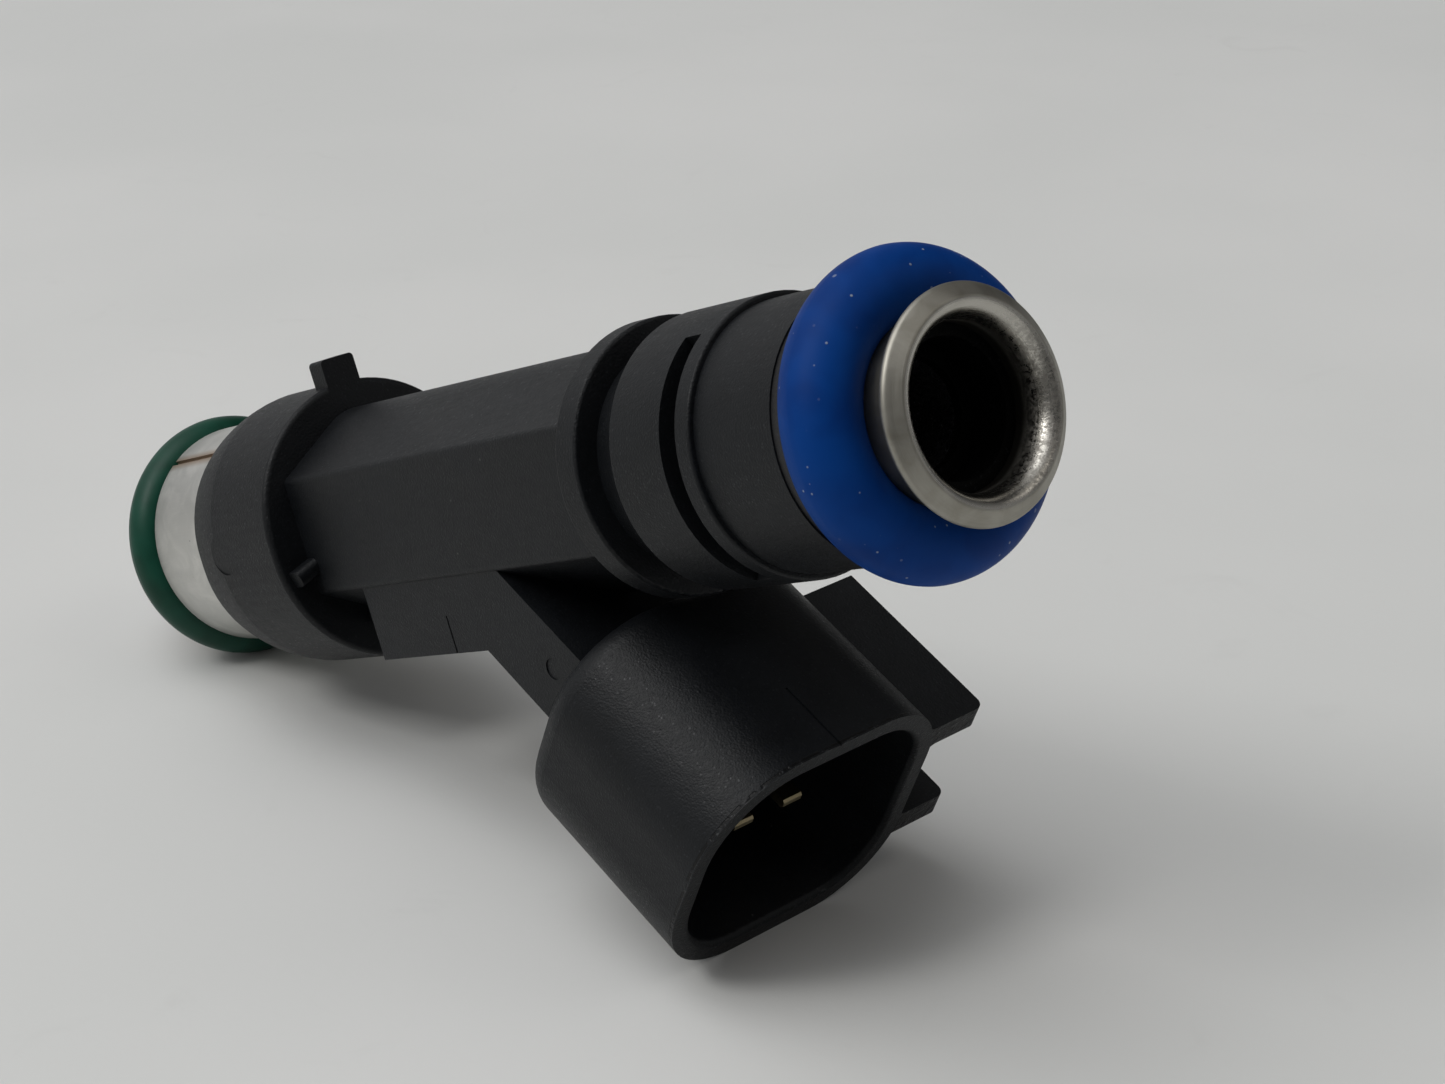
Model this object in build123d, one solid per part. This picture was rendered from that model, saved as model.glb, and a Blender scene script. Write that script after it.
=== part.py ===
"""Port fuel injector with a slanted two-pin connector.

The frame: +Z runs along the injector's axis towards the fuel inlet, +Y points to the side of
the connector, and the origin is the centre of the lower O-ring. All sizes are in millimetres.
"""
import math
import os

from build123d import *

# Overall layout along the axis, measured from the centre of the lower O-ring
seal_spacing = 60.65        # between the centres of the two O-rings
inlet_overhang = 3.95       # the rolled flange's top above the upper O-ring's centre
tip_overhang = 5.30         # the sleeve's lower end below the lower O-ring's centre

# Valve sleeve, one deep-drawn stainless tube
sleeve_r = 4.10
sleeve_wall = 0.47
flange_reach = 1.04         # the rolled flange at the inlet, beyond the sleeve's outside
flange_height = 0.90
flange_round = 0.30         # how far its edge rounds in at its underside
flange_widest = 0.40        # height of its widest part above its underside
bell_height = 1.10          # how far the inlet bore's bell mouth reaches down

# O-rings and their supports
upper_ring_section = 3.53
upper_ring_grip = 0.335     # each ring's free bore is this much less in radius than what it sits on
lower_ring_section = 2.62
lower_ring_grip = 0.05
upper_support_r = 6.10
upper_support_height = 0.75
ring_hub_wall = 0.40        # wall of the hub that carries the lower O-ring
retainer_r = 5.60
retainer_height = 1.90
retainer_chamfer = 0.40

# Solenoid
housing_r = 6.30
housing_wall = 0.62
housing_bottom = 1.50       # the housing's lower face
housing_top = 15.80
housing_floor = 1.00
yoke_bottom = 7.00          # the inner shelf that carries the magnetic flux to the armature
yoke_height = 1.20
cover_height = 0.80
bobbin_wall = 0.40
bobbin_flange = 0.60
winding_gap = 0.15          # between the winding and the housing
seam_width = 0.30           # rolled housing's closed seam
seam_depth = 0.20
seam_angle = 146            # from +Y towards +X

# Inner pole, armature, needle and seat
pole_length = 11.00
pole_bore_r = 2.00
pole_bottom = 11.00
lift_gap = 0.10             # between the armature and the pole, a little more than the lift
armature_length = 5.90
armature_clearance = 0.05
spring_seat_depth = 1.90
needle_r = 1.20
needle_bore_r = 0.70
needle_port_r = 0.50
ball_r = 1.60
ball_z = -2.40
ball_clearance = 0.03
seat_gap = 0.02             # closed ball above the seat cone
seat_outlet_r = 0.55
seat_top = -0.60
seat_length = 4.20
flute_r = 0.45
flute_count = 4
plate_thickness = 0.25
spray_hole_r = 0.11
spray_pitch_r = 0.30
spray_hole_count = 4
guide_bottom = 1.20
guide_height = 0.80
guide_clearance = 0.03
guide_hole_r = 0.50
guide_hole_count = 6

# Return spring and the sleeve that sets its load
spring_wire_r = 0.18
spring_turns = 8
spring_clearance = 0.12     # radial, inside the pole's bore
spring_length = 8.00
adjuster_length = 5.50
adjuster_wall = 0.60
adjuster_slit = 0.50

# Inlet filter
filter_top_depth = 2.00     # below the rolled flange's top
filter_collar_height = 2.60
filter_collar_wall = 0.55
filter_collar_floor = 0.50  # the collar's floor, which steps in to the mesh
filter_length = 13.50
filter_gap = 1.03           # between the mesh and the sleeve
filter_mesh_wall = 0.12
filter_rib_width = 0.80
filter_rib_height = 0.45
filter_rib_count = 3
filter_cap_height = 0.80

# Moulded body around the sleeve
collar_r = 6.20
rim_r = 6.50                # thin rim and wide band beside the clip slots
rim_top = 52.90
rim_height = 0.95
clip_slot_height = 1.15
clip_slot_floor_r = 5.30
clip_slot_half_angle = 60
band_height = 3.82
groove_height = 2.43
groove_floor_r = 5.40
lower_rim_r = 6.65
lower_rim_height = 1.61
hexagon_flats = 10.80       # across the flats of the body
hexagon_back_fillet = 3.00
edge_round = 0.15           # on the rims' and the band's outer edges
facet_round = 0.40          # along the hexagon's other edges

# Moulded cup around the solenoid
cup_wall = 1.00             # around the housing
cup_top = 16.50
cup_bottom = 6.80
cup_lip = 0.18              # wall of the cup's thin lower lip
cup_taper_height = 3.60
cup_bulge = 0.75            # the cup is drawn out this far towards the connector
cup_round = 0.30            # around its top
lug_reach = 1.40            # beyond the cup's side
lug_width = 2.10
lug_height = 1.30
lug_round = 0.25            # on its two upright corners
web_width = 0.90            # the two radial webs on the cup's upper face
web_angle = 73
web_height = 0.90
web_round = 0.40
web_setback = 0.35          # the webs end this far inside the cup's side
side_mark_r = 1.50          # round ejector mark on the cup's side
side_mark_depth = 0.08
side_mark_y = -0.40
side_mark_z = 11.00

# Terminal ridge and neck between the body and the connector
ridge_half_width = 5.20
ridge_y = 7.20
ridge_bottom = 20.80
riser_half_width = 2.80     # pad over the terminals' feet, below the ridge
riser_y = 5.60
neck_low = -1.35            # the neck's two faces, across the connector's axis
neck_high = 3.45

# Connector
connector_angle = 46.0      # from the injector's axis
face_y = 19.25              # centre of the connector's mouth
face_z = 44.30
shroud_width = 15.20
shroud_height = 13.70
shroud_length = 11.80
shroud_wall = 1.10
round_r_far = 4.60          # corner radii on the wing side and on the other side
round_r_near = 5.50
shroud_rear_fillet = 1.60
mouth_round = 0.30          # around the socket's mouth
socket_depth = 9.80
wing_reach = 3.55           # beyond the shroud's side
wing_thickness = 1.30
wing_pitch = 6.50           # between the wings' middles
wing_length = 10.10
wing_setback = 0.20
wing_round = 0.50            # on the wings' front corners
wing_root_fillet = 0.70
parting_width = 0.12        # fine moulding marks on the shroud and the ridge
parting_depth = 0.08
parting_length = 4.00       # on the shroud's face towards the inlet
ridge_mark_z = 27.90
ridge_mark_y = 5.20         # the mark runs from here to the ridge's outer face
gate_r = 0.55               # injection point on the neck's side
gate_depth = 0.06
gate_distance = 13.60       # behind the mouth
gate_offset = -1.50         # across the connector's axis, towards the inlet

# Terminals
terminal_x = 1.60
terminal_width = 1.20
terminal_thickness = 0.50
terminal_gap = 0.50         # between the sleeve and the riser
terminal_offset = -0.40     # across the connector's axis
terminal_tip_depth = 2.40
terminal_tip_chamfer = 0.12
terminal_bend_r = 1.50
terminal_slot_clearance = 0.30

margin = 1.00               # how far a cutting shape reaches past what it cuts
slack = 0.01                # for picking corners by their place

# Worked out from the sizes above
inlet_top = seal_spacing + inlet_overhang
sleeve_bore = sleeve_r - sleeve_wall
flange_r = sleeve_r + flange_reach
ring_hub_r = sleeve_r + ring_hub_wall
support_top = seal_spacing - upper_ring_section / 2
body_top = support_top - upper_support_height
rim_bottom = rim_top - rim_height
band_top = rim_bottom - clip_slot_height
band_bottom = band_top - band_height
groove_bottom = band_bottom - groove_height
lower_rim_bottom = groove_bottom - lower_rim_height
housing_bore = housing_r - housing_wall
cover_bottom = housing_top - cover_height
yoke_top = yoke_bottom + yoke_height
armature_top = pole_bottom - lift_gap
armature_bottom = armature_top - armature_length
spring_foot = armature_top - spring_seat_depth
spring_head = spring_foot + spring_length
spring_r = pole_bore_r - spring_clearance - spring_wire_r
filter_top = inlet_top - filter_top_depth
filter_bottom = filter_top - filter_length
filter_mesh_r = sleeve_bore - filter_gap
terminal_y = sleeve_r + terminal_gap + terminal_thickness / 2
cup_r = housing_r + cup_wall
seat_bottom = seat_top - seat_length
lean = math.radians(connector_angle)
mouth = Plane(
    origin=(0, face_y, face_z),
    x_dir=(1, 0, 0),
    z_dir=(0, math.sin(lean), math.cos(lean)),
)                           # its local y points away from the inlet, and its z out of the mouth


def turned(*outline):
    """A solid of revolution about Z from (radius, height) points."""
    return revolve(Plane.XZ * make_face(Polyline(*outline, close=True)), Axis.Z)


def ring(inner, outer, low, high):
    """A plain ring about Z."""
    return turned((inner, low), (outer, low), (outer, high), (inner, high))


def rod(radius, low, high, x=0.0, y=0.0):
    """A round rod parallel to Z."""
    return Pos(x, y, low) * Cylinder(radius, high - low, align=(Align.CENTER, Align.CENTER, Align.MIN))


def block(x, y, z):
    """A box between the two values given for each axis."""
    size = [high - low for low, high in (x, y, z)]
    return Pos(x[0], y[0], z[0]) * Box(*size, align=(Align.MIN,) * 3)


def spots(count, radius):
    """Points evenly spaced on a circle."""
    turns = [2 * math.pi * k / count for k in range(count)]
    return [(radius * math.cos(t), radius * math.sin(t)) for t in turns]


def sector(radius, middle, half_angle, low, high):
    """A wedge about Z; angles run from +Y towards +X."""
    angles = [math.radians(middle + side * half_angle) for side in (-1, -0.5, 0, 0.5, 1)]
    reach = radius / math.cos(math.radians(half_angle / 4))
    rim = [(reach * math.sin(a), reach * math.cos(a)) for a in angles]
    wedge = make_face(Polyline((0, 0), *rim, close=True))
    return extrude(Plane.XY.offset(low) * wedge, high - low)


def valve_sleeve():
    """Thin tube with a rolled flange and a bell mouth at the inlet."""
    middle_r = (sleeve_bore + flange_r) / 2
    flange_bottom = inlet_top - flange_height
    outline = [
        Line((sleeve_bore, -tip_overhang), (sleeve_r, -tip_overhang)),
        Line((sleeve_r, -tip_overhang), (sleeve_r, flange_bottom)),
        Line((sleeve_r, flange_bottom), (flange_r - flange_round, flange_bottom)),
        Spline(
            (flange_r - flange_round, flange_bottom),
            (flange_r, flange_bottom + flange_widest),
            (middle_r, inlet_top),
            tangents=((1, 0), (-1, 0)),
        ),
        Spline(
            (middle_r, inlet_top),
            (sleeve_bore, inlet_top - bell_height),
            tangents=((-1, -0.15), (0, -1)),
        ),
        Line((sleeve_bore, inlet_top - bell_height), (sleeve_bore, -tip_overhang)),
    ]
    return revolve(Plane.XZ * make_face(outline), Axis.Z)


def o_ring(section, grip, height, hub_r):
    """A ring of round section, flattened where it grips its hub."""
    whole = Pos(0, 0, height) * Torus(hub_r - grip + section / 2, section / 2)
    return whole - rod(hub_r, height - section, height + section)


def upper_support_ring():
    return ring(sleeve_r, upper_support_r, body_top, support_top)


def lower_retainer():
    """Hub under the lower O-ring with a flange that keeps the ring on."""
    flange_top = -lower_ring_section / 2
    hub = ring(sleeve_r, ring_hub_r, flange_top, housing_bottom)
    flange = ring(sleeve_r, retainer_r, flange_top - retainer_height, flange_top)
    outer_edge = flange.edges().filter_by(GeomType.CIRCLE).group_by(Axis.Z)[0].sort_by(SortBy.RADIUS)[-1]
    return hub + chamfer(outer_edge, retainer_chamfer)


def coil_housing():
    """Rolled steel shell with a floor and an inner shelf that fit the sleeve."""
    shell = ring(housing_bore, housing_r, housing_bottom, housing_top)
    floor = ring(sleeve_r, housing_bore, housing_bottom, housing_bottom + housing_floor)
    shelf = ring(sleeve_r, housing_bore, yoke_bottom, yoke_top)
    seam = block(
        (-seam_width / 2, seam_width / 2),
        (housing_r - seam_depth, housing_r + seam_depth),
        (housing_bottom, housing_top),
    )
    return shell + floor + shelf - Rot(0, 0, -seam_angle) * seam


def terminal_slot(low, high):
    """Room for both terminals through the parts above the coil."""
    reach = terminal_x + terminal_width / 2 + terminal_slot_clearance
    inner = terminal_y - terminal_thickness / 2 - terminal_slot_clearance
    return block((-reach, reach), (inner, housing_r), (low, high))


def pole_cover():
    """Upper flux ring, notched for the terminals."""
    return ring(sleeve_r, housing_bore, cover_bottom, housing_top) - terminal_slot(cover_bottom, housing_top)


def coil_bobbin():
    """Spool between the housing's shelf and the cover, with a slot for each terminal's foot."""
    core_r = sleeve_r + bobbin_wall
    spool = turned(
        (sleeve_r, yoke_top),
        (housing_bore, yoke_top),
        (housing_bore, yoke_top + bobbin_flange),
        (core_r, yoke_top + bobbin_flange),
        (core_r, cover_bottom - bobbin_flange),
        (housing_bore, cover_bottom - bobbin_flange),
        (housing_bore, cover_bottom),
        (sleeve_r, cover_bottom),
    )
    return spool - terminal(1) - terminal(-1)


def coil_winding():
    return ring(
        sleeve_r + bobbin_wall,
        housing_bore - winding_gap,
        yoke_top + bobbin_flange,
        cover_bottom - bobbin_flange,
    )


def inner_pole():
    return ring(pole_bore_r, sleeve_bore, pole_bottom, pole_bottom + pole_length)


def armature():
    """Plunger with a spring seat on top and a bore that holds the needle."""
    plunger = rod(sleeve_bore - armature_clearance, armature_bottom, armature_top)
    seat = rod(pole_bore_r, spring_foot, armature_top)
    return plunger - seat - rod(needle_r, armature_bottom, spring_foot)


def valve_needle():
    """Tube from the armature's spring seat to the ball, with two cross ports for the fuel."""
    contact = ball_z + math.sqrt(ball_r**2 - needle_r**2)
    tube = ring(needle_bore_r, needle_r, contact, spring_foot)
    ports = Pos(0, 0, guide_bottom - needle_r) * Rot(0, 90, 0) * Cylinder(needle_port_r, 3 * needle_r)
    return tube - valve_ball() - ports


def valve_ball():
    return Pos(0, 0, ball_z) * Sphere(ball_r)


def valve_seat():
    """Seat with a guide bore for the ball, a right-angled cone, an outlet and fuel flutes."""
    bore = ball_r + ball_clearance
    apex = ball_z - ball_r * math.sqrt(2) - seat_gap
    seat = turned(
        (bore, seat_top),
        (bore, apex + bore),
        (seat_outlet_r, apex + seat_outlet_r),
        (seat_outlet_r, seat_bottom),
        (sleeve_bore, seat_bottom),
        (sleeve_bore, seat_top),
    )
    for x, y in spots(flute_count, bore + flute_r / 2):
        seat -= rod(flute_r, apex + bore, seat_top, x, y)
    return seat


def orifice_plate():
    plate = rod(sleeve_bore, seat_bottom - plate_thickness, seat_bottom)
    for x, y in spots(spray_hole_count, spray_pitch_r):
        plate -= rod(spray_hole_r, seat_bottom - plate_thickness, seat_bottom, x, y)
    return plate


def needle_guide():
    """Pierced disc that keeps the needle on the axis."""
    bore = needle_r + guide_clearance
    disc = ring(bore, sleeve_bore, guide_bottom, guide_bottom + guide_height)
    for x, y in spots(guide_hole_count, (bore + sleeve_bore) / 2):
        disc -= rod(guide_hole_r, guide_bottom, guide_bottom + guide_height, x, y)
    return disc


def return_spring():
    """Compression spring from the armature to the adjusting sleeve."""
    height = spring_length - 2 * spring_wire_r
    path = Helix(pitch=height / spring_turns, height=height, radius=spring_r)
    section = Plane(origin=path @ 0, z_dir=path % 0) * Circle(spring_wire_r)
    return Pos(0, 0, spring_foot + spring_wire_r) * sweep(section, path, is_frenet=True)


def adjusting_sleeve():
    """Slit tube pressed into the pole's bore; its lower end sets the spring's load."""
    tube = ring(pole_bore_r - adjuster_wall, pole_bore_r, spring_head, spring_head + adjuster_length)
    half = adjuster_slit / 2
    return tube - block((0, pole_bore_r), (-half, half), (spring_head, spring_head + adjuster_length))


def filter_frame():
    """Collar in the inlet, ribs along the mesh and a cap at the bottom."""
    collar_bottom = filter_top - filter_collar_height
    collar_bore = sleeve_bore - filter_collar_wall
    collar = turned(
        (filter_mesh_r - filter_mesh_wall, collar_bottom),
        (sleeve_bore, collar_bottom),
        (sleeve_bore, filter_top),
        (collar_bore, filter_top),
        (collar_bore, collar_bottom + filter_collar_floor),
        (filter_mesh_r - filter_mesh_wall, collar_bottom + filter_collar_floor),
    )
    frame = collar + rod(filter_mesh_r, filter_bottom, filter_bottom + filter_cap_height)
    for k in range(filter_rib_count):
        rib = block(
            (filter_mesh_r, filter_mesh_r + filter_rib_height),
            (-filter_rib_width / 2, filter_rib_width / 2),
            (filter_bottom, collar_bottom),
        )
        foot = block(
            (0, filter_mesh_r + filter_rib_height),
            (-filter_rib_width / 2, filter_rib_width / 2),
            (filter_bottom, filter_bottom + filter_cap_height),
        )
        frame += Rot(0, 0, 360 / filter_rib_count * k) * (rib + foot)
    return frame - filter_mesh()


def filter_mesh():
    return ring(
        filter_mesh_r - filter_mesh_wall,
        filter_mesh_r,
        filter_bottom + filter_cap_height,
        filter_top - filter_collar_height,
    )


def terminal(side):
    """Strip that rises from the bobbin, bends and ends as a blade in the socket."""
    across = Vector(0, -math.cos(lean), math.sin(lean)) * terminal_offset
    tip = mouth.origin + across - mouth.z_dir * terminal_tip_depth
    run = (tip.Y - terminal_y) / math.sin(lean)
    bend = tip - mouth.z_dir * run
    foot = (terminal_y, cover_bottom - bobbin_flange / 2)
    path = FilletPolyline(foot, (bend.Y, bend.Z), (tip.Y, tip.Z), radius=terminal_bend_r)
    flat = Plane.YZ * trace(path, line_width=terminal_thickness)
    strip = extrude(flat, terminal_width / 2, both=True)
    end = strip.faces().sort_by(Axis(tuple(mouth.origin), tuple(mouth.z_dir)))[-1]
    strip = chamfer(end.edges().filter_by(Axis.X), terminal_tip_chamfer)
    return Pos(side * terminal_x, 0, 0) * strip


def moulded_head():
    """Collar, rims, band and groove near the inlet, with a clip slot on each side."""
    outline = make_face(
        Polyline(
            (0, lower_rim_bottom),
            (lower_rim_r, lower_rim_bottom),
            (lower_rim_r, groove_bottom),
            (groove_floor_r, groove_bottom),
            (groove_floor_r, band_bottom),
            (rim_r, band_bottom),
            (rim_r, rim_top),
            (collar_r, rim_top),
            (collar_r, body_top),
            (0, body_top),
            close=True,
        )
    )
    outer_corners = [v for v in outline.vertices() if v.X > collar_r + slack]
    outline = fillet(outer_corners, min(edge_round, (rim_r - collar_r) / 2))
    head = revolve(Plane.XZ * outline, Axis.Z)
    for middle in (90, 270):
        slot = sector(rim_r + margin, middle, clip_slot_half_angle, band_top, rim_bottom)
        head -= slot - rod(clip_slot_floor_r, band_top, rim_bottom)
    return head


def moulded_cup():
    """Oval cup around the solenoid, with a lug at the back and two webs on its top."""
    lip_r = housing_r + cup_lip
    shoulder = cup_bottom + cup_taper_height
    middle = ((lip_r + cup_r) / 2 + (cup_r - lip_r) / 6, (cup_bottom + shoulder) / 2)
    taper = ThreePointArc((lip_r, cup_bottom), middle, (cup_r, shoulder))
    sides = Polyline((cup_r, shoulder), (cup_r, cup_top), (0, cup_top), (0, cup_bottom), (lip_r, cup_bottom))
    outline = make_face([taper, sides])
    rim = [v for v in outline.vertices() if v.X > cup_r - slack and v.Y > cup_top - slack]
    outline = fillet(rim, cup_round)
    half = Plane.XZ * outline
    cup = revolve(half, Axis.Z)
    cup += Pos(0, cup_bulge, 0) * cup
    cup += extrude(half + mirror(half, Plane.YZ), cup_bulge, dir=(0, 1, 0))
    lug = block((-lug_width / 2, lug_width / 2), (-cup_r - lug_reach, 0), (cup_top - lug_height, cup_top))
    cup += fillet(lug.edges().filter_by(Axis.Z).group_by(Axis.Y)[0], lug_round)
    for side in (-1, 1):
        web = block(
            (-web_width / 2, web_width / 2),
            (0, cup_r - web_setback),
            (cup_top - margin, cup_top + web_height),
        )
        web = fillet(web.edges().filter_by(Axis.Y).group_by(Axis.Z)[-1], web_round)
        cup += Rot(0, 0, -side * web_angle) * web
    side_mark = Pos(cup_r, side_mark_y, side_mark_z) * Rot(0, 90, 0)
    return cup - side_mark * Cylinder(side_mark_r, 2 * side_mark_depth)


def moulded_trunk():
    """Hexagonal body with a rounded back, and the pad and ridge that cover the terminals."""
    corner_r = hexagon_flats / math.sqrt(3)
    hexagon = RegularPolygon(corner_r, 6, rotation=30)
    hexagon = fillet(hexagon.vertices().sort_by(Axis.Y)[0], hexagon_back_fillet)
    side_corners = [v for v in hexagon.vertices() if abs(v.X) > hexagon_flats / 2 - slack]
    hexagon = fillet(side_corners, facet_round)
    trunk = extrude(Plane.XY.offset(cup_top) * hexagon, lower_rim_bottom - cup_top)
    trunk += block((-riser_half_width, riser_half_width), (0, riser_y), (cup_top, ridge_bottom))
    # the ridge ends where the neck's outer face leaves it
    depth = (face_y - neck_low * math.cos(lean) - ridge_y) / math.sin(lean)
    ridge_top = face_z - depth * math.cos(lean) + neck_low * math.sin(lean)
    trunk += block((-ridge_half_width, ridge_half_width), (0, ridge_y), (ridge_bottom, ridge_top))
    mark = block(
        (ridge_half_width - parting_depth, hexagon_flats),
        (ridge_mark_y, ridge_y),
        (ridge_mark_z, ridge_mark_z + parting_width),
    )
    return trunk - mark


def shroud_outline(inset):
    """Mouth of the connector, its four corners rounded in pairs."""
    outline = Rectangle(shroud_width - 2 * inset, shroud_height - 2 * inset)
    left = outline.vertices().group_by(Axis.X)[0]
    outline = fillet(left, round_r_far - inset)
    right = [v for v in outline.vertices() if v.X > shroud_width / 2 - inset - slack]
    return fillet(right, round_r_near - inset)


def wing_section():
    """The shroud's outline with both guide wings, rounded where they leave it."""
    outline = shroud_outline(0)
    tip_x = -shroud_width / 2 - wing_reach
    wings = []
    for side in (-1, 1):
        low = side * wing_pitch / 2 - wing_thickness / 2
        wing = Pos(tip_x, low) * Rectangle(
            wing_reach + shroud_wall, wing_thickness, align=(Align.MIN, Align.MIN)
        )
        wings.append(wing)
    # growing and shrinking the section rounds its inner corners
    grown = offset(outline + wings[0] + wings[1], wing_root_fillet)
    return offset(grown, -wing_root_fillet)


def moulded_connector():
    """Shroud, socket, guide wings and the neck that joins them to the body."""
    shell = extrude(shroud_outline(0), -shroud_length)
    shell = fillet(shell.faces().sort_by(Axis.Z)[0].edges(), shroud_rear_fillet)
    wings = extrude(Plane.XY.offset(-wing_setback) * wing_section(), -wing_length)
    front_corners = wings.edges().filter_by(Axis.Y).group_by(Axis.X)[0].group_by(Axis.Z)[-1]
    wings = fillet(front_corners, wing_round)
    reach = face_y / math.sin(lean)
    neck = block((-ridge_half_width, ridge_half_width), (-neck_high, -neck_low), (-reach, -socket_depth))
    socket = extrude(shroud_outline(shroud_wall), -socket_depth)
    body = shell + wings + neck - socket
    mouth_face = body.faces().filter_by(Axis.Z).sort_by(Axis.Z)[-1]
    body = fillet(mouth_face.inner_wires()[0].edges(), mouth_round)
    top = -shroud_height / 2
    body -= block(
        (-parting_width / 2, parting_width / 2),
        (top, top + parting_depth),
        (-parting_length, 0),
    )
    gate = Pos(ridge_half_width, gate_offset, -gate_distance) * Rot(0, 90, 0)
    body -= gate * Cylinder(gate_r, 2 * gate_depth)
    return mouth * body


def body_overmould():
    """The black moulding, cut by what it is moulded around."""
    body = moulded_head() + moulded_cup() + moulded_trunk() + moulded_connector()
    body -= rod(sleeve_r, cup_bottom, body_top)
    body -= rod(housing_r, cup_bottom, housing_top)
    return body - terminal(1) - terminal(-1)


os.makedirs("parts", exist_ok=True)
sub_parts = {
    "valve_sleeve": valve_sleeve(),
    "upper_o_ring": o_ring(upper_ring_section, upper_ring_grip, seal_spacing, sleeve_r),
    "upper_support_ring": upper_support_ring(),
    "lower_o_ring": o_ring(lower_ring_section, lower_ring_grip, 0, ring_hub_r),
    "lower_retainer": lower_retainer(),
    "filter_frame": filter_frame(),
    "filter_mesh": filter_mesh(),
    "adjusting_sleeve": adjusting_sleeve(),
    "return_spring": return_spring(),
    "inner_pole": inner_pole(),
    "armature": armature(),
    "valve_needle": valve_needle(),
    "valve_ball": valve_ball(),
    "needle_guide": needle_guide(),
    "valve_seat": valve_seat(),
    "orifice_plate": orifice_plate(),
    "coil_housing": coil_housing(),
    "pole_cover": pole_cover(),
    "coil_bobbin": coil_bobbin(),
    "coil_winding": coil_winding(),
    "terminal_left": terminal(-1),
    "terminal_right": terminal(1),
    "body_overmould": body_overmould(),
}
for name, solid in sub_parts.items():
    export_step(solid, f"parts/{name}.step")
    print(f"{name}: {solid.volume:.2f} mm3")
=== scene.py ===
"""Looks of the fuel injector: seals, steels, moulded nylon, a pale table and soft light.

Lengths are in metres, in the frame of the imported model: +Z runs along the injector towards its
fuel inlet and +Y points to the side of its connector. Patterns in the finishes are in millimetres.
"""

import math

import bpy
import numpy as np
from mathutils import Matrix, Vector


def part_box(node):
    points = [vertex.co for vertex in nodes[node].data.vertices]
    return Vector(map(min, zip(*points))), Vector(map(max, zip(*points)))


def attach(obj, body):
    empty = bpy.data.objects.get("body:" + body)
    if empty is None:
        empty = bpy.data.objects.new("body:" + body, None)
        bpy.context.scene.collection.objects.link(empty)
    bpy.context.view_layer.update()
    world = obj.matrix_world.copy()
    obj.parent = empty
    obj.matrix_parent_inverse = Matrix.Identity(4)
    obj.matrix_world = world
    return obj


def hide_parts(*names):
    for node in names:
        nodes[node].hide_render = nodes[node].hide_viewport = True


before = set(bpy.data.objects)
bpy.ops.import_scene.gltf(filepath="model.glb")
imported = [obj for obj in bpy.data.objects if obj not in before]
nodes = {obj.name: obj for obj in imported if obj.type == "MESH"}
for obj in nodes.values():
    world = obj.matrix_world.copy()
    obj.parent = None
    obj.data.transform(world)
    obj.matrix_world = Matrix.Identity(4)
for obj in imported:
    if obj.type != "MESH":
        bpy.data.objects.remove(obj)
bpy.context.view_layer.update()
MM = 0.001

# Camera
camera_place = Vector((77.90, -11.15, 146.44)) * MM
camera_forward = Vector((-0.60444, 0.12009, -0.78755))
camera_down = Vector((0.29474, 0.95214, -0.08102))
camera_lens = 68.56
camera_sensor = 36.0

# Table: it touches the connector's lowest edge and the lower seal ring
table_at_connector = Vector((0.0, 24.01, 39.37)) * MM
table_at_ring = Vector((0.0, 6.96, -0.52)) * MM
table_half_size = 1.5

# Seal rings: radius of the section's centre, the section's diameter and the hub that it sits on
seal_spacing = 60.65 * MM
upper_ring_r, upper_ring_section = 5.53 * MM, 3.53 * MM
lower_ring_r, lower_ring_section = 5.76 * MM, 2.62 * MM
ring_hub_r = 4.50 * MM
ring_flash = 0.008 * MM
flash_spread = math.radians(3)

# Valve sleeve: its tube, its rolled flange, and the bell inside the flange
sleeve_r, sleeve_bore = 4.10 * MM, 3.63 * MM
sleeve_tip_chamfer = 0.08 * MM
flange_height = 0.90 * MM
flange_edge_r = 0.26 * MM
flange_neck_r = 0.25 * MM
bell_r = 4.46 * MM
bell_depth = 1.25 * MM
bell_drop = 0.01 * MM    # the crease round the bell lies this much below the flange's top

# Zones of the bell's finish, and of the painted shade down the bore, in millimetres
burnished_radii, burnished_fade = (3.60, 4.35), 0.12
burnished_heights = (63.0, 63.4)
bore_shade_heights = (62.9, 63.7)
bore_shade_radii = (3.75, 3.90)

# Rolled housing: the angle of its seam from the connector's side, and the heat tint beside it
seam_angle = math.radians(146)
tint_start, tint_end = 0.02, 0.11    # radians from the seam

# Coil: distance between turns of its wire, in millimetres
wire_pitch = 0.2

# Connector: centre of its mouth and the direction out of it
mouth_centre = Vector((0.0, 19.25, 44.30)) * MM
mouth_lean = math.radians(46)
mouth_out = Vector((0.0, math.sin(mouth_lean), math.cos(mouth_lean)))
mouth_across = Vector((0.0, math.cos(mouth_lean), -math.sin(mouth_lean)))
mouth_half_width, mouth_half_height = 7.05, 6.30    # to the middle of the wall, in millimetres

# Light: the point that both lamps look at
lamp_target = Vector((0, 0.004, 0.034))
lamp_distance = 0.65
room_colour = (0.985, 0.99, 1.0, 1)
backdrop_colour = (0.575, 0.58, 0.565, 1)


# ------------------------------------------------------------------ shader maths

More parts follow.
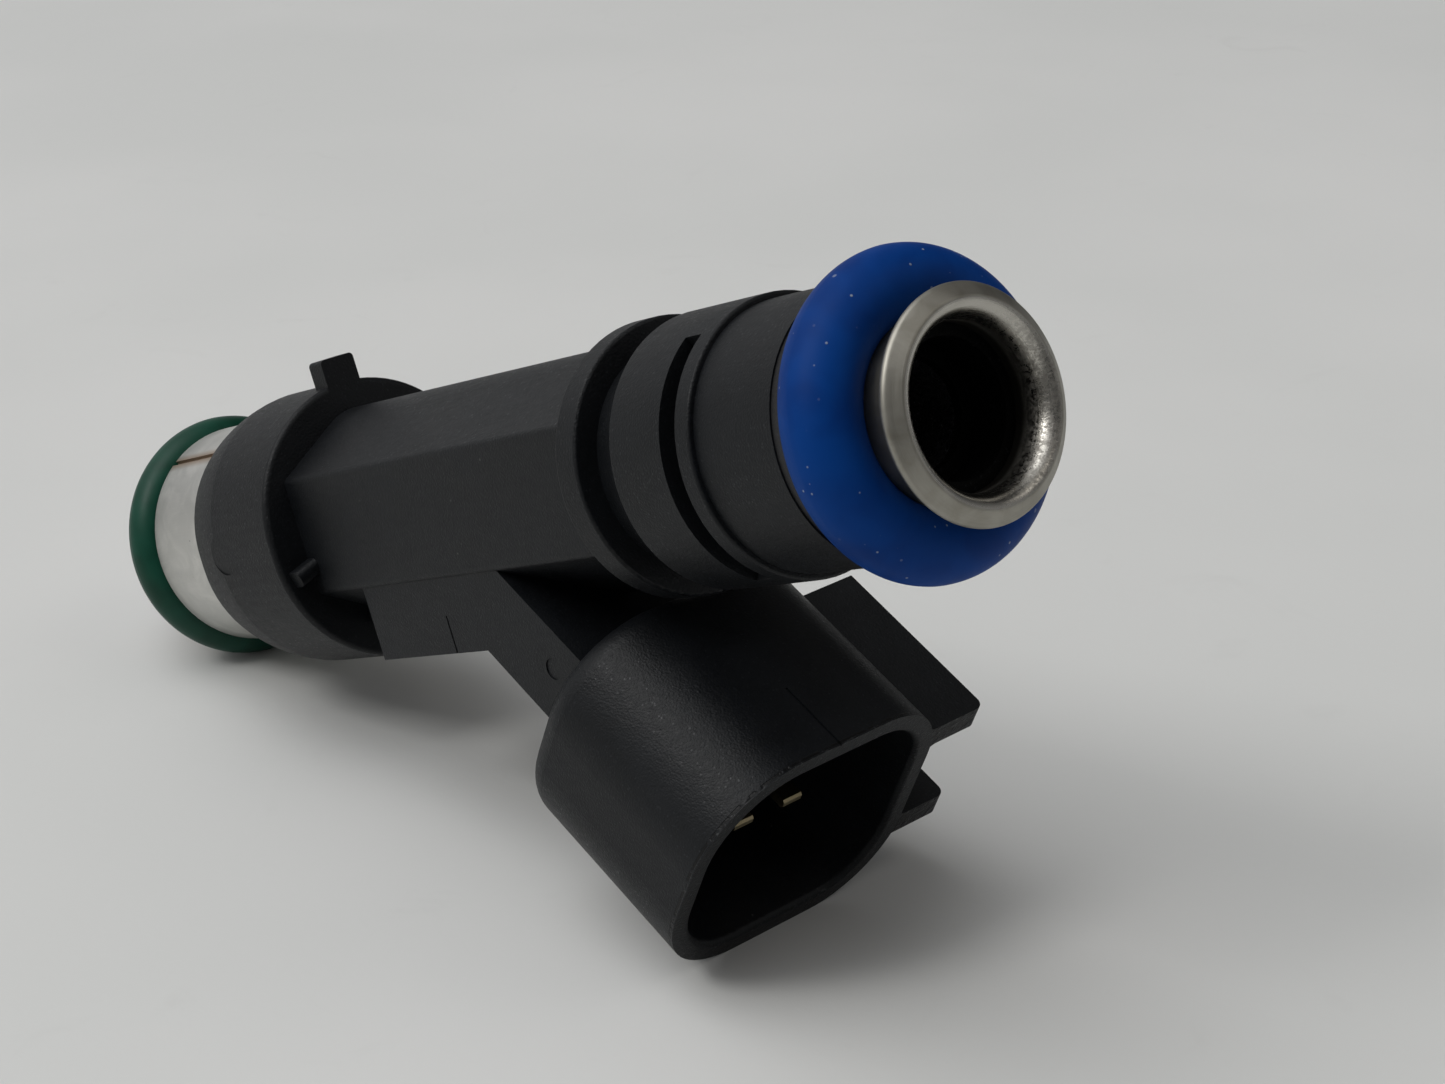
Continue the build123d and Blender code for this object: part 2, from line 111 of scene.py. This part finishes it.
class Wire:
    """A socket of a node tree; arithmetic on it adds Math nodes."""

    def __init__(self, tree, socket):
        self.tree = tree
        self.socket = socket

    def _math(self, operation, *values):
        return self.tree.node("ShaderNodeMath", {"operation": operation}, dict(enumerate(values)))

    def __add__(self, other):
        return self._math("ADD", self, other)

    def __radd__(self, other):
        return self._math("ADD", other, self)

    def __sub__(self, other):
        return self._math("SUBTRACT", self, other)

    def __rsub__(self, other):
        return self._math("SUBTRACT", other, self)

    def __mul__(self, other):
        return self._math("MULTIPLY", self, other)

    def __rmul__(self, other):
        return self._math("MULTIPLY", other, self)

    def __truediv__(self, other):
        return self._math("DIVIDE", self, other)

    def __rtruediv__(self, other):
        return self._math("DIVIDE", other, self)

    def __pow__(self, other):
        return self._math("POWER", self, other)

    def __abs__(self):
        return self._math("ABSOLUTE", self)

    def sine(self):
        return self._math("SINE", self)

    def at_least(self, other):
        """The larger of the two values."""
        return self._math("MAXIMUM", self, other)

    def angle_to(self, other):
        """The angle, from the axis of other towards the axis of self, of the point (other, self)."""
        return self._math("ARCTAN2", self, other)

    def over(self, low, high):
        """0 below low and 1 above high, with a smooth rise between."""
        ease = {"interpolation_type": "SMOOTHSTEP"}
        return self.tree.node("ShaderNodeMapRange", ease, {"Value": self, "From Min": low, "From Max": high})

    def between(self, low, high, soft):
        """1 between low and high, fading over soft on both sides."""
        return self.over(low - soft, low) * (1 - self.over(high, high + soft))


class Tree:
    """A node tree, emptied first; one method makes all of its nodes."""

    def __init__(self, owner):
        owner.use_nodes = True
        self.nodes = owner.node_tree.nodes
        self.links = owner.node_tree.links
        self.nodes.clear()

    def node(self, kind, settings, values, output=0):
        """Adds a node: settings first, then the values or links of its sockets; returns one output."""
        made = self.nodes.new(kind)
        for key, value in settings.items():
            setattr(made, key, value)
        for key, value in values.items():
            if isinstance(value, Wire):
                self.links.new(value.socket, made.inputs[key])
            else:
                made.inputs[key].default_value = value
        return Wire(self, made.outputs[output]) if made.outputs else None

    def dot(self, vector, direction):
        """The dot product of a vector with a fixed direction."""
        settings = {"operation": "DOT_PRODUCT"}
        return self.node("ShaderNodeVectorMath", settings, {0: vector, 1: tuple(direction)}, "Value")


class Finish(Tree):
    """One material; place is a point of the piece in millimetres, and x, y and z are its parts."""

    def __init__(self, name):
        self.material = bpy.data.materials.new(name)
        super().__init__(self.material)
        metres = self.node("ShaderNodeTexCoord", {}, {}, "Object")
        self.place = self.node("ShaderNodeVectorMath", {"operation": "SCALE"}, {0: metres, "Scale": 1 / MM})
        self.x, self.y, self.z = (
            self.node("ShaderNodeSeparateXYZ", {}, {0: self.place}, axis) for axis in "XYZ"
        )

    def joined(self, x, y, z):
        """A vector from three values."""
        return self.node("ShaderNodeCombineXYZ", {}, {0: x, 1: y, 2: z})

    def stretched(self, x, y, z):
        """The place in millimetres, scaled by a factor along each axis."""
        return self.node("ShaderNodeVectorMath", {"operation": "MULTIPLY"}, {0: self.place, 1: (x, y, z)})

    def along(self, direction, origin):
        """Distance in millimetres from origin, a point in metres, along a direction."""
        return self.dot(self.place, direction) + -origin.dot(direction) / MM

    def radius(self):
        """Distance in millimetres from the injector's axis."""
        return (self.x * self.x + self.y * self.y) ** 0.5

    def noise(self, scale, detail=2.0, rough=0.5, at=None, warp=0.0):
        """Cloudy noise with scale features to a millimetre."""
        values = {"Scale": scale, "Detail": detail, "Roughness": rough, "Distortion": warp}
        values["Vector"] = at or self.place
        return self.node("ShaderNodeTexNoise", {}, values)

    def cells(self, scale, output="Distance"):
        """Voronoi cells, scale of them to a millimetre."""
        return self.node("ShaderNodeTexVoronoi", {}, {"Vector": self.place, "Scale": scale}, output)

    def specks(self, scale, share, size):
        """1 on small round specks: a share of the cells holds one, of the given size in cells."""
        pick = self.node("ShaderNodeSeparateColor", {}, {0: self.cells(scale, "Color")})
        return pick.over(1 - share, 1 - share * 0.5) * (1 - self.cells(scale).over(size * 0.5, size))

    def blend(self, factor, first, second):
        """A colour between two colours."""
        first, second = (c if isinstance(c, Wire) else (*c, 1.0) for c in (first, second))
        colours = {0: factor, 6: first, 7: second}    # sockets 6 and 7 are the two colours
        return self.node("ShaderNodeMix", {"data_type": "RGBA"}, colours, 2)

    def bump(self, height, depth, normal=None):
        """A normal tilted by a height map; depth is its full height in millimetres."""
        values = {"Height": height, "Distance": depth * MM, "Strength": 1.0}
        if normal is not None:
            values["Normal"] = normal
        return self.node("ShaderNodeBump", {}, values)

    def surface(self, **channels):
        """A Principled surface; its channels are named like Base_Color or Roughness."""
        values = {key.replace("_", " "): value for key, value in channels.items()}
        return self.node("ShaderNodeBsdfPrincipled", {}, values)

    def done(self, surface):
        """The material, with the surface on its output."""
        self.node("ShaderNodeOutputMaterial", {}, {"Surface": surface})
        return self.material


# ------------------------------------------------------------------ finishes

def mouth_line(f, colour):
    """The mould's parting line round the connector's mouth: dark, broken, with pale flecks of flash.

    It lies just behind the mouth, outside the superellipse (x / a)^4 + (y / b)^4 = 1 that runs
    through the middle of the shroud's wall.
    """
    behind = f.along(mouth_out, mouth_centre)
    across = f.along(mouth_across, mouth_centre)
    ring = (f.x / mouth_half_width) ** 4 + (abs(across) / mouth_half_height) ** 4
    outside = ring.over(0.72, 0.85)
    line = behind.between(-0.20, -0.08, 0.04) * outside
    broken = f.noise(2.2, detail=2.0).over(0.36, 0.50)
    colour = f.blend(line * broken * 0.9, colour, (0.0004, 0.0004, 0.0004))
    flecks = f.noise(5.5, detail=1.0).over(0.62, 0.68) * behind.between(-0.10, -0.02, 0.03) * outside
    return f.blend(flecks * 0.5, colour, (0.075, 0.078, 0.080)), line * broken


def moulded_nylon(name, dark, light, shine=0.24, mouth=False):
    """Glass-filled nylon from a spark-eroded mould: fine grain, short fibres and faint flow marks."""
    f = Finish(name)
    fibre_and_glint_colour, dust_colour = (0.040, 0.043, 0.048), (0.14, 0.14, 0.13)
    grain = f.noise(7.5, detail=3.0, rough=0.6)
    pits = f.cells(9.0)
    orange_peel = f.noise(1.6, detail=2.0)
    flow = f.noise(0.22, detail=3.0, warp=0.6)
    fibres = f.noise(3.2, detail=2.0, at=f.stretched(1.0, 1.0, 0.25), warp=0.3)
    glints = f.specks(6.0, 0.22, 0.40)
    dust = f.specks(1.3, 0.035, 0.10)
    mottled = flow.over(0.35, 0.7) * 0.55 + grain.over(0.35, 0.75) * 0.45
    colour = f.blend(mottled, dark, light)
    # Lighter specks: partly the tone of glass fibres, partly a painted glint for the sparkle of the grain
    colour = f.blend(glints * 0.22, colour, fibre_and_glint_colour)
    colour = f.blend(dust * 0.40, colour, dust_colour)
    rough = 0.50 + (grain - 0.5) * 0.22 + (fibres - 0.5) * 0.12
    rough = rough - glints * 0.16 + (flow - 0.5) * 0.10
    normal = f.bump(orange_peel, 0.010)
    normal = f.bump(fibres, 0.010, normal)
    normal = f.bump(grain * 0.6 + pits * 0.4, 0.028, normal)
    if mouth:
        colour, line = mouth_line(f, colour)
        normal = f.bump(1 - line, 0.03, normal)
    look = f.surface(
        IOR=1.53, Specular_IOR_Level=shine, Base_Color=colour, Roughness=rough, Normal=normal
    )
    return f.done(look)


def seal_rubber(name, deep, lit, dust_share, rough=0.50, shine=0.30):
    """Seal rubber: satin skin with faint ripples, and specks of dust and lint."""
    f = Finish(name)
    dust_colour = (0.45, 0.50, 0.55)
    skin = f.noise(3.0, detail=3.0)
    cloud = f.noise(0.35, detail=2.0, warp=0.4)
    fine = f.noise(14.0, detail=2.0)
    dust = f.specks(1.5, dust_share, 0.12)
    lint = f.specks(0.7, dust_share, 0.09)
    colour = f.blend(cloud.over(0.30, 0.75), deep, lit)
    colour = f.blend(skin.over(0.55, 0.85) * 0.22, colour, lit)
    colour = f.blend(dust * 0.55 + lint * 0.35, colour, dust_colour)
    rough = rough + (skin - 0.5) * 0.14 + (cloud - 0.5) * 0.10 + dust * 0.3
    normal = f.bump(skin, 0.006)
    normal = f.bump(fine, 0.002, normal)
    normal = f.bump(dust, 0.02, normal)
    look = f.surface(
        IOR=1.43, Specular_IOR_Level=shine, Base_Color=colour, Roughness=rough, Normal=normal
    )
    return f.done(look)


def tool_marks(f, direction):
    """Fine lines left by a tool: turned around the axis, drawn along it, or ground any way."""
    lines = 18.0    # to a millimetre
    if direction == "around":
        turn = f.y.angle_to(f.x)
        at = f.joined(f.radius() * lines, f.z * lines, turn.sine() * 0.6)
    elif direction == "along":
        at = f.joined(f.x * lines, f.y * lines, f.z * 0.35)
    else:
        at = f.stretched(lines * 0.4, lines * 0.4, lines * 0.4)
    return f.noise(1.0, detail=2.0, rough=0.6, at=at)


def turned_steel(name, colour, shade, rough, direction="around", tint=None):
    """Turned, drawn or ground metal: tool lines, smudges from shade to colour, and pits."""
    f = Finish(name)
    line_depth, grain_depth = 0.004, 0.0024
    tool = tool_marks(f, direction)
    smudge = f.noise(0.45, detail=4.0, rough=0.6, warp=0.8)
    grain = f.noise(9.0, detail=2.0)
    pits = f.specks(1.6, 0.06, 0.12)
    base = f.blend(smudge.over(0.32, 0.72), shade, colour)
    base = f.blend(pits * 0.5, base, tuple(c * 0.35 for c in shade))
    if tint is not None:
        base = tint(f, base)
    rough = rough + (tool - 0.5) * 0.20 + (smudge - 0.5) * 0.16 + pits * 0.25
    normal = f.bump(tool, line_depth)
    normal = f.bump(grain, grain_depth, normal)
    return f.done(f.surface(Metallic=1.0, Base_Color=base, Roughness=rough, Normal=normal))


def rolled_mouth_steel():
    """The drawn sleeve: matte at the rolled flange, burnished streaks and tool chatter in the bell, and
    painted shade that turns the bore nearly black below it.
    """
    f = Finish("rolled_mouth_steel")
    radius = f.radius()
    turn = f.y.angle_to(f.x)
    at = f.joined(radius * 14.0, f.z * 14.0, turn.sine() * 0.8)
    lines = f.noise(1.0, detail=3.0, rough=0.65, at=at)
    chatter = f.noise(5.0, detail=3.0, rough=0.7, warp=0.5)
    smudge = f.noise(0.6, detail=4.0, warp=0.7)
    bell = radius.between(*burnished_radii, burnished_fade) * f.z.over(*burnished_heights)
    # the punch has left a rough dark patch on the side of the bell that faces the guide wings
    wings_side = (f.x * -1).over(-0.6, 2.6) * f.y.over(-4.0, -0.4)
    patch = bell * wings_side * chatter.over(0.38, 0.66)
    # inside marks the bore below the bell, where painted shade stands in for the darkness deep in the hole
    inside = (1 - f.z.over(*bore_shade_heights)) * (1 - radius.over(*bore_shade_radii))
    colour = f.blend(smudge.over(0.3, 0.7), (0.27, 0.258, 0.222), (0.37, 0.355, 0.315))
    colour = f.blend(bell * 0.5, colour, (0.56, 0.54, 0.50))
    colour = f.blend(patch * 0.55, colour, (0.14, 0.125, 0.115))
    # painted shade: the bore below the bell is painted nearly black
    colour = f.blend(inside * 0.97, colour, (0.010, 0.009, 0.008))
    rough = 0.48 + (lines - 0.5) * 0.22 + (smudge - 0.5) * 0.12
    rough = rough - bell * 0.24 + patch * 0.30 + inside * 0.3
    normal = f.bump(lines, 0.006)
    normal = f.bump(chatter * (patch * 0.8 + 0.2), 0.008, normal)
    return f.done(f.surface(Metallic=1.0, Base_Color=colour, Roughness=rough, Normal=normal))


def housing_tint(f, base):
    """A brown heat tint beside the rolled housing's seam."""
    turn = f.x.angle_to(f.y)
    near = 1 - abs(turn - seam_angle).over(tint_start, tint_end)
    return f.blend(near * 0.8, base, (0.34, 0.24, 0.16))


def wound_copper():
    """Enamelled copper wire: its turns are a sine of the height."""
    f = Finish("wound_copper")
    turns = (f.z * (2 * math.pi / wire_pitch)).sine()
    smudge = f.noise(0.8, detail=3.0)
    colour = f.blend(smudge.over(0.3, 0.7), (0.50, 0.17, 0.07), (0.72, 0.30, 0.13))
    rough = 0.32 + (smudge - 0.5) * 0.2
    normal = f.bump(turns * 0.5 + 0.5, 0.03)
    return f.done(f.surface(Metallic=1.0, Base_Color=colour, Roughness=rough, Normal=normal))


def table_finish():
    """Pale matte table, seen from above only, with a few faint smudges."""
    f = Finish("table_finish")
    cloud = f.noise(0.02, detail=3.0)
    smudge = f.noise(0.12, detail=5.0, rough=0.62, warp=1.2).over(0.60, 0.80)
    grain = f.noise(1.5, detail=2.0)
    colour = f.blend(cloud.over(0.3, 0.7), (0.690, 0.695, 0.680), (0.730, 0.730, 0.716))
    colour = f.blend(smudge * 0.22, colour, (0.60, 0.60, 0.585))
    rough = 0.55 + (grain - 0.5) * 0.1
    normal = f.bump(grain, 0.01)
    top = f.surface(IOR=1.45, Specular_IOR_Level=0.25, Base_Color=colour, Roughness=rough, Normal=normal)
    below = f.node("ShaderNodeBsdfTransparent", {}, {})
    underside = f.node("ShaderNodeNewGeometry", {}, {}, "Backfacing")
    return f.done(f.node("ShaderNodeMixShader", {}, {0: underside, 1: top, 2: below}))


# ------------------------------------------------------------------ shapes

def grid_mesh(name, points):
    """A mesh from an array points[u, v, 3] that closes on itself both ways round."""
    nu, nv = points.shape[:2]
    u, v = np.meshgrid(np.arange(nu), np.arange(nv), indexing="ij")
    next_u, next_v = (u + 1) % nu, (v + 1) % nv
    quads = [u * nv + v, next_u * nv + v, next_u * nv + next_v, u * nv + next_v]
    quads = np.stack(quads, axis=-1).reshape(-1, 4)
    mesh = bpy.data.meshes.new(name)
    mesh.from_pydata(points.reshape(-1, 3).tolist(), [], quads.tolist())
    mesh.update()
    mesh.polygons.foreach_set("use_smooth", np.ones(len(mesh.polygons), bool))
    piece = bpy.data.objects.new(name, mesh)
    bpy.context.scene.collection.objects.link(piece)
    return piece


def revolved(name, profile, wobble=None, turns=288):
    """A closed profile of (radius, height) carried round Z.

    At each angle x = radius * cos(angle), y = radius * sin(angle) and z = height, after wobble has
    moved the radius and the height. The profile runs with the solid on its left.
    """
    angle = np.linspace(0, 2 * math.pi, turns, endpoint=False)[:, None]
    radius = np.broadcast_to(profile[:, 0], (turns, len(profile)))
    height = np.broadcast_to(profile[:, 1], (turns, len(profile)))
    if wobble is not None:
        radius, height = wobble(angle, radius, height)
    return grid_mesh(name, np.stack([radius * np.cos(angle), radius * np.sin(angle), height], axis=-1))


def arc(centre, radius, start, end, steps):
    """Points of a circular arc; angles in degrees."""
    t = np.radians(np.linspace(start, end, steps))
    return np.stack([centre[0] + radius * np.cos(t), centre[1] + radius * np.sin(t)], axis=1)


def seal_ring(name, centre_r, section, height, hub_r):
    """A ring whose section is a circle, cut flat at the hub and with a fine mould line outside.

    The section's radius at angle t is section / 2 + flash * exp(-(sin t / spread)^2), the flash on
    the outer half only, and no point passes inside the hub. The whole section swells and shrinks
    about the hub's circle by about a thousandth, in three and in seven slow waves round the ring.
    """
    t = np.linspace(0, 2 * math.pi, 144, endpoint=False)
    line = np.where(np.cos(t) > 0, np.exp(-(np.sin(t) / flash_spread) ** 2), 0)
    reach = section / 2 + ring_flash * line
    profile = np.stack([centre_r + reach * np.cos(t), height + reach * np.sin(t)], axis=1)
    profile[:, 0] = np.maximum(profile[:, 0], hub_r)

    def slow_waves(angle, radius, z):
        swell = 1 + 0.0012 * np.sin(3 * angle + 0.7) + 0.0008 * np.sin(7 * angle)
        return hub_r + (radius - hub_r) * swell, height + (z - height) * swell

    return revolved(name, profile, slow_waves)


def rolled_sleeve():
    """The thin tube with its rolled flange, as one closed profile turned about the axis.

    From the tip up the outside, out to the flange, round its edge, across a slightly dished face,
    over a soft crease into the bell, and down the bore. As t runs from 0 to 1 down the bell, its
    radius falls from the crease to the bore as sin(90 degrees * t)^0.9, and its height falls by
    bell_depth * (1 - cos(90 degrees * t))^0.95.
    """
    bottom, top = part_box("valve_sleeve")
    low, high, outer = bottom.z, top.z, top.x
    under = high - flange_height
    tip_z, neck_z = low + sleeve_tip_chamfer, under - flange_neck_r
    tip = np.array([[sleeve_bore, low], [sleeve_r - sleeve_tip_chamfer, low], [sleeve_r, tip_z]])
    outside = np.linspace([sleeve_r, tip_z], [sleeve_r, neck_z], 40)[1:-1]
    neck = arc((sleeve_r + flange_neck_r, neck_z), flange_neck_r, 180, 90, 8)
    underside = np.array([[outer - flange_edge_r, under]])
    edge = arc((outer - flange_edge_r, under + flange_edge_r), flange_edge_r, -80, 55, 18)
    crease = np.array([bell_r, high - bell_drop])
    face = np.linspace(edge[-1], crease, 8)[1:]
    quarter = np.linspace(0, 1, 26)[1:] * math.pi / 2
    bell_radius = crease[0] - (crease[0] - sleeve_bore) * np.sin(quarter) ** 0.9
    bell_height = crease[1] - bell_depth * (1 - np.cos(quarter)) ** 0.95
    bell = np.stack([bell_radius, bell_height], axis=1)
    bore = np.linspace(bell[-1], [sleeve_bore, low], 40)[1:-1]
    profile = np.concatenate([tip, outside, neck, underside, edge, face, bell, bore])
    return revolved("rolled_sleeve", profile)


# ------------------------------------------------------------------ pieces


def place(piece, body, slot, material, *stands_for):
    """Gives a new piece its finish and its body, and hides what it stands for; slot is not used."""
    piece.data.materials.append(material)
    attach(piece, body)
    if stands_for:
        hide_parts(*stands_for)


nylon = moulded_nylon(
    "overmould_nylon", (0.0020, 0.0027, 0.0037), (0.0056, 0.0068, 0.0086), mouth=True
)
blue_rubber = seal_rubber(
    "blue_seal_rubber", (0.0004, 0.029, 0.168), (0.0008, 0.043, 0.225), 0.55, shine=0.11
)
green_rubber = seal_rubber(
    "green_seal_rubber", (0.0010, 0.034, 0.019), (0.004, 0.060, 0.036), 0.02, rough=0.42
)
mouth_steel = rolled_mouth_steel()
housing_steel = turned_steel(
    "plated_housing_steel", (0.66, 0.65, 0.62), (0.54, 0.535, 0.51), 0.42, "along", housing_tint
)
ground_steel = turned_steel("ground_steel", (0.62, 0.62, 0.62), (0.50, 0.50, 0.50), 0.22)
magnetic_steel = turned_steel("magnetic_steel", (0.46, 0.46, 0.47), (0.34, 0.34, 0.35), 0.38)
spring_wire = turned_steel("spring_wire", (0.58, 0.58, 0.60), (0.46, 0.46, 0.48), 0.28, "any")
# The terminals' brass is darker than clean brass: partly its own tone, partly painted shade for the dim
# socket
terminal_brass_shaded = turned_steel("terminal_brass_shaded", (0.42, 0.35, 0.22), (0.30, 0.25, 0.15), 0.36, "any")
copper = wound_copper()
brown_nylon = moulded_nylon("brown_nylon", (0.055, 0.030, 0.016), (0.110, 0.062, 0.034))
ring_nylon = moulded_nylon("support_ring_nylon", (0.012, 0.012, 0.013), (0.026, 0.026, 0.027))
# The filter frame is black nylon painted darker than its own black: painted shade deep in the bore
filter_nylon_shaded = moulded_nylon("filter_nylon_shaded", (0.001, 0.001, 0.001), (0.002, 0.002, 0.002), 0.05)

finishes = {
    nylon: ["body_overmould"],
    ring_nylon: ["upper_support_ring"],
    brown_nylon: ["lower_retainer", "coil_bobbin"],
    filter_nylon_shaded: ["filter_frame"],
    spring_wire: ["return_spring", "filter_mesh"],
    magnetic_steel: ["inner_pole", "armature", "pole_cover"],
    ground_steel: [
        "valve_needle", "valve_ball", "needle_guide", "valve_seat", "orifice_plate", "adjusting_sleeve",
    ],
    housing_steel: ["coil_housing"],
    copper: ["coil_winding"],
    terminal_brass_shaded: ["terminal_left", "terminal_right"],
}
for material, names in finishes.items():
    for name in names:
        nodes[name].data.materials.clear()
        nodes[name].data.materials.append(material)

upper_ring = (upper_ring_r, upper_ring_section, seal_spacing, sleeve_r)
lower_ring = (lower_ring_r, lower_ring_section, 0.0, ring_hub_r)
place(rolled_sleeve(), "injector_body", "stainless", mouth_steel, "valve_sleeve")
place(
    seal_ring("upper_seal_ring", *upper_ring), "injector_body", "blue_rubber", blue_rubber, "upper_o_ring"
)
place(
    seal_ring("lower_seal_ring", *lower_ring), "injector_body", "green_rubber", green_rubber, "lower_o_ring"
)


# ------------------------------------------------------------------ table, light and camera

# Directions on the table: run goes from ring to connector, up leaves its face
run = (table_at_connector - table_at_ring).normalized()
across_table = Vector((1, 0, 0))
up = across_table.cross(run)
if up.y > 0:
    up = -up
corners = [
    table_at_connector + a * table_half_size * across_table + b * table_half_size * run
    for a, b in ((-1, -1), (1, -1), (1, 1), (-1, 1))
]
table_mesh = bpy.data.meshes.new("table")
table_mesh.from_pydata([tuple(c) for c in corners], [], [(0, 1, 2, 3)])
table = bpy.data.objects.new("table", table_mesh)
bpy.context.scene.collection.objects.link(table)
if table_mesh.polygons[0].normal.dot(up) < 0:
    table_mesh.flip_normals()
table_mesh.materials.append(table_finish())

# Directions of the light: back goes along the table towards the camera, and right lies across it
back = (-camera_forward - (-camera_forward).dot(up) * up).normalized()
right = up.cross(back)

# Broad lobes of light in the room: direction, brightness at the lobe's middle, and how narrow it is
room_lobes = [
    (up - right * 0.30, 2.45, 12.0),
    (up - right, 1.05, 6.0),
    (up * 0.25 - right * 0.50 - back * 0.85, 0.50, 5.0),
    (up * 0.25 + right, 0.30, 6.0),
    (up * 0.40 + back, 0.12, 3.0),
]

world = bpy.data.worlds.new("studio")
bpy.context.scene.world = world
sky = Tree(world)
looking = sky.node("ShaderNodeTexCoord", {}, {}, "Generated")


def lobe(direction, brightness, power):
    """brightness * max(0, cosine of the angle to a direction) ** power."""
    return sky.dot(looking, direction.normalized()).at_least(0.0) ** power * brightness


glow = lobe(*room_lobes[0])
for other in room_lobes[1:]:
    glow = glow + lobe(*other)
lit = sky.node("ShaderNodeBackground", {}, {"Color": room_colour, "Strength": glow})
backdrop = sky.node("ShaderNodeBackground", {}, {"Color": backdrop_colour})
seen_directly = sky.node("ShaderNodeLightPath", {}, {}, "Is Camera Ray")
room = sky.node("ShaderNodeMixShader", {}, {0: seen_directly, 1: lit, 2: backdrop})
sky.node("ShaderNodeOutputWorld", {}, {"Surface": room})


def softbox(name, direction, size, power, colour):
    """A square area light that looks at the injector's middle from a direction."""
    data = bpy.data.lights.new(name, "AREA")
    data.size = size
    data.energy = power
    data.color = colour
    lamp = bpy.data.objects.new(name, data)
    towards = direction.normalized()
    lamp.location = lamp_target + towards * lamp_distance
    lamp.rotation_mode = "QUATERNION"
    lamp.rotation_quaternion = (-towards).to_track_quat("-Z", "Y")
    bpy.context.scene.collection.objects.link(lamp)


softbox("window", up * 0.73 - right * 0.61 + back * 0.29, 0.18, 0.95, (1.0, 0.99, 0.97))
softbox("lamp", up * 0.80 + right * 0.60 + back * 0.10, 0.30, 0.28, (1.0, 0.96, 0.90))

camera_data = bpy.data.cameras.new("camera")
camera_data.lens = camera_lens
camera_data.sensor_width = camera_sensor
camera = bpy.data.objects.new("camera", camera_data)
axes = Matrix((camera_down.cross(camera_forward), -camera_down, -camera_forward)).transposed()
camera.matrix_world = Matrix.Translation(camera_place) @ axes.normalized().to_4x4()
bpy.context.scene.collection.objects.link(camera)
bpy.context.scene.camera = camera
bpy.context.scene.view_settings.view_transform = "Standard"
